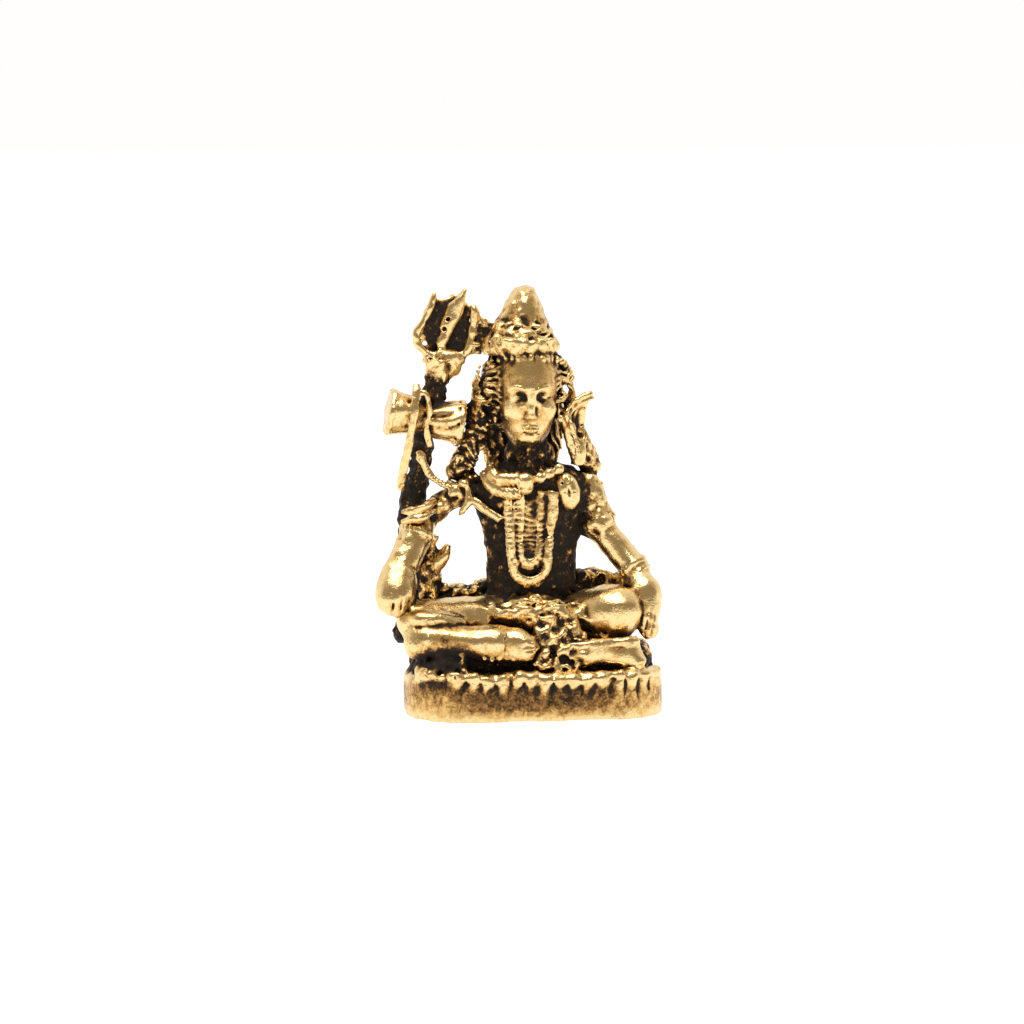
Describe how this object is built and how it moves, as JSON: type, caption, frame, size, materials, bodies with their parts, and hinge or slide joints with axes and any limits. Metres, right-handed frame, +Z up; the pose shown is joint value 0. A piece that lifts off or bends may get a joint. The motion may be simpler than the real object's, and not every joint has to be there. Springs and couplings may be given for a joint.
{
  "type": "brass figurine",
  "caption": "Small solid-cast seated deity figure on a rounded oblong slab, legs crossed, with a trident and an hour-glass drum beside one shoulder.",
  "frame": {"origin": "middle of the slab's flat underside", "axes": "+Z up, the figure faces -Y, its right hand is at -X"},
  "size_m": [0.0299, 0.0146, 0.044],
  "materials": {
    "worn_brass": "cast, raised faces rubbed bright, dark patina left in the recesses",
    "dark_brass": "cast, rough, mostly covered with dark brown patina"
  },
  "bodies": {
    "root": {"back_hair": "dark_brass", "chest_drape": "worn_brass", "cobra_hood": "dark_brass", "drum_left_bowl": "worn_brass", "drum_left_rim": "worn_brass", "drum_long_ribbon": "worn_brass", "drum_right_bowl": "worn_brass", "drum_right_rim": "worn_brass", "drum_short_ribbon": "worn_brass", "drum_strap": "worn_brass", "garland_inner": "worn_brass", "garland_middle": "worn_brass", "garland_outer": "worn_brass", "hair_band": "worn_brass", "hair_bridge": "dark_brass", "hair_cap": "dark_brass", "hair_lock_left": "dark_brass", "hair_lock_right": "dark_brass", "head": "worn_brass", "left_armlet": "worn_brass", "left_bracelet": "worn_brass", "left_forearm": "worn_brass", "left_hand": "worn_brass", "left_shin": "worn_brass", "left_thigh": "worn_brass", "left_upper_arm": "dark_brass", "loincloth": "worn_brass", "loincloth_flap": "dark_brass", "mat_fringe": "worn_brass", "neck": "dark_brass", "pedestal": "worn_brass", "pot_spout": "worn_brass", "rear_drape": "dark_brass", "right_armlet": "worn_brass", "right_bracelet": "worn_brass", "right_foot": "worn_brass", "right_forearm": "worn_brass", "right_hand": "worn_brass", "right_shin": "worn_brass", "right_thigh": "worn_brass", "right_upper_arm": "dark_brass", "rudraksha_beads": "worn_brass", "sacred_thread": "worn_brass", "seat_mat": "dark_brass", "serpent_head": "worn_brass", "serpent_lower_coil": "worn_brass", "serpent_upper_coil": "worn_brass", "shoulder_cobra": "worn_brass", "support_post": "worn_brass", "topknot": "worn_brass", "torso": "dark_brass", "trident_centre_prong": "worn_brass", "trident_crossbar": "worn_brass", "trident_left_prong": "worn_brass", "trident_right_prong": "worn_brass", "trident_socket": "worn_brass", "trident_staff": "dark_brass", "trident_web": "dark_brass", "water_pot": "dark_brass"}
  },
  "joints": []
}
